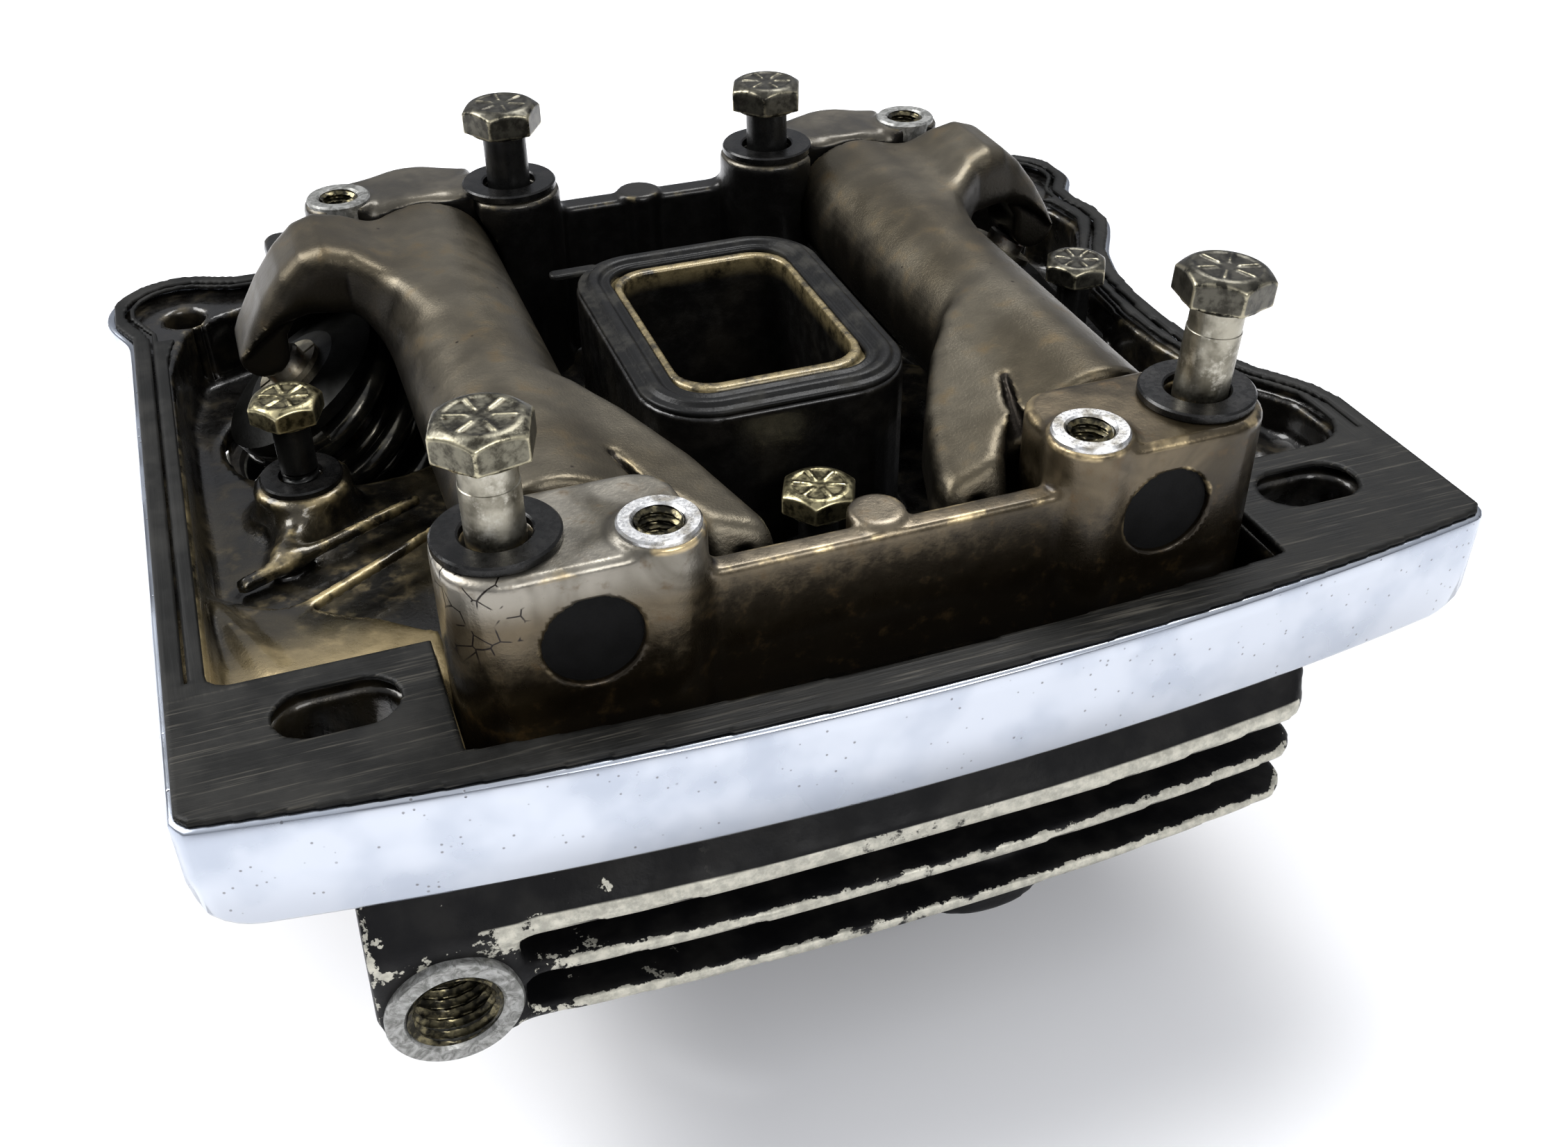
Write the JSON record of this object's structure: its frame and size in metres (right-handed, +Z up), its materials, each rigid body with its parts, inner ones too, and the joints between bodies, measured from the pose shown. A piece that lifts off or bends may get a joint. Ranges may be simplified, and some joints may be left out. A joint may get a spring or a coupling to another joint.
{
  "type": "engine cylinder head",
  "caption": "Overhead-valve air-cooled cylinder head with open lower rocker box, rocker arms on shafts, inclined sprung valves, cooling fins and raised hexagon bolts.",
  "frame": {"origin": "centre of the head-bolt circle, on the cylinder's axis at the deck face", "axes": "+Z up the cylinder axis, +X towards the exhaust port, -Y towards the pushrod side"},
  "size_m": [0.2066, 0.1903, 0.127],
  "materials": {
    "black_painted_alloy": "satin black paint, bare cream-grey fin edges and chips",
    "chromed_alloy": "chrome plate outside, oil-stained cast metal inside",
    "stained_alloy": "cast metal, dark with baked oil",
    "rocker_steel": "oily bronze-grey forging",
    "bushing_bronze": "machined bronze",
    "guide_bronze": "machined bronze",
    "seat_alloy": "ground seat",
    "valve_steel": "ground stem, sooty head",
    "collar_steel": "dark phosphate",
    "keeper_steel": "oily steel",
    "spring_steel": "oily dark wire",
    "seal_rubber": "satin moulded rubber",
    "gasket_rubber": "streaked black facing",
    "gasket_fibre": "pressed fibre",
    "shaft_steel": "black oxide",
    "bolt_steel": "worn dull yellow zinc",
    "washer_steel": "black oxide",
    "stud_steel": "heat-stained steel"
  },
  "bodies": {
    "head": {"head_casting": "black_painted_alloy", "head_lower_casting": "black_painted_alloy", "breather_boss_end": "black_painted_alloy", "intake_seat_ring": "seat_alloy", "exhaust_seat_ring": "seat_alloy", "intake_valve_guide": "guide_bronze", "exhaust_valve_guide": "guide_bronze", "intake_stem_seal": "seal_rubber", "exhaust_stem_seal": "seal_rubber", "intake_lower_collar": "collar_steel", "exhaust_lower_collar": "collar_steel", "intake_outer_spring": "spring_steel", "exhaust_outer_spring": "spring_steel", "intake_inner_spring": "spring_steel", "exhaust_inner_spring": "spring_steel", "base_gasket": "gasket_fibre", "lower_rocker_box": "chromed_alloy", "breather_tower": "stained_alloy", "front_boss_bridge": "stained_alloy", "back_boss_bridge": "stained_alloy", "rim_gasket": "gasket_rubber", "tower_seal": "seal_rubber", "intake_rocker_shaft": "shaft_steel", "exhaust_rocker_shaft": "shaft_steel", "boss_bolts": "bolt_steel", "boss_washers": "washer_steel", "floor_bolts": "bolt_steel", "floor_washers": "washer_steel", "exhaust_studs": "stud_steel"},
    "intake_rocker": {"intake_rocker_arm": "rocker_steel", "intake_rocker_bushings": "bushing_bronze"},
    "exhaust_rocker": {"exhaust_rocker_arm": "rocker_steel", "exhaust_rocker_bushings": "bushing_bronze"},
    "intake_valve_set": {"intake_valve": "valve_steel", "intake_upper_collar": "collar_steel", "intake_keepers": "keeper_steel"},
    "exhaust_valve_set": {"exhaust_valve": "valve_steel", "exhaust_upper_collar": "collar_steel", "exhaust_keepers": "keeper_steel"}
  },
  "joints": [
    {"name": "intake_rocker_pivot", "type": "hinge", "parent": "head", "child": "intake_rocker", "pos_m": [-0.0431, -0.04, 0.094], "axis": [0, -1, 0], "range_deg": [0, 18.5], "stiffness_Nm_per_rad": 2.5, "springref_deg": -20.05},
    {"name": "exhaust_rocker_pivot", "type": "hinge", "parent": "head", "child": "exhaust_rocker", "pos_m": [0.0431, -0.04, 0.094], "axis": [0, 1, 0], "range_deg": [0, 18.5], "stiffness_Nm_per_rad": 2.5, "springref_deg": -20.05},
    {"name": "intake_valve_lift", "type": "slide", "parent": "head", "child": "intake_valve_set", "axis": [0.5358, 0, -0.8443], "range_m": [0, 0.0104], "deforming": ["intake_outer_spring", "intake_inner_spring"]},
    {"name": "exhaust_valve_lift", "type": "slide", "parent": "head", "child": "exhaust_valve_set", "axis": [-0.5358, 0, -0.8443], "range_m": [0, 0.0104], "deforming": ["exhaust_outer_spring", "exhaust_inner_spring"]}
  ],
  "couplings": [
    {"joint": "intake_valve_lift", "follows": "intake_rocker_pivot", "m_per_rad": 0.0321},
    {"joint": "exhaust_valve_lift", "follows": "exhaust_rocker_pivot", "m_per_rad": 0.0321}
  ]
}
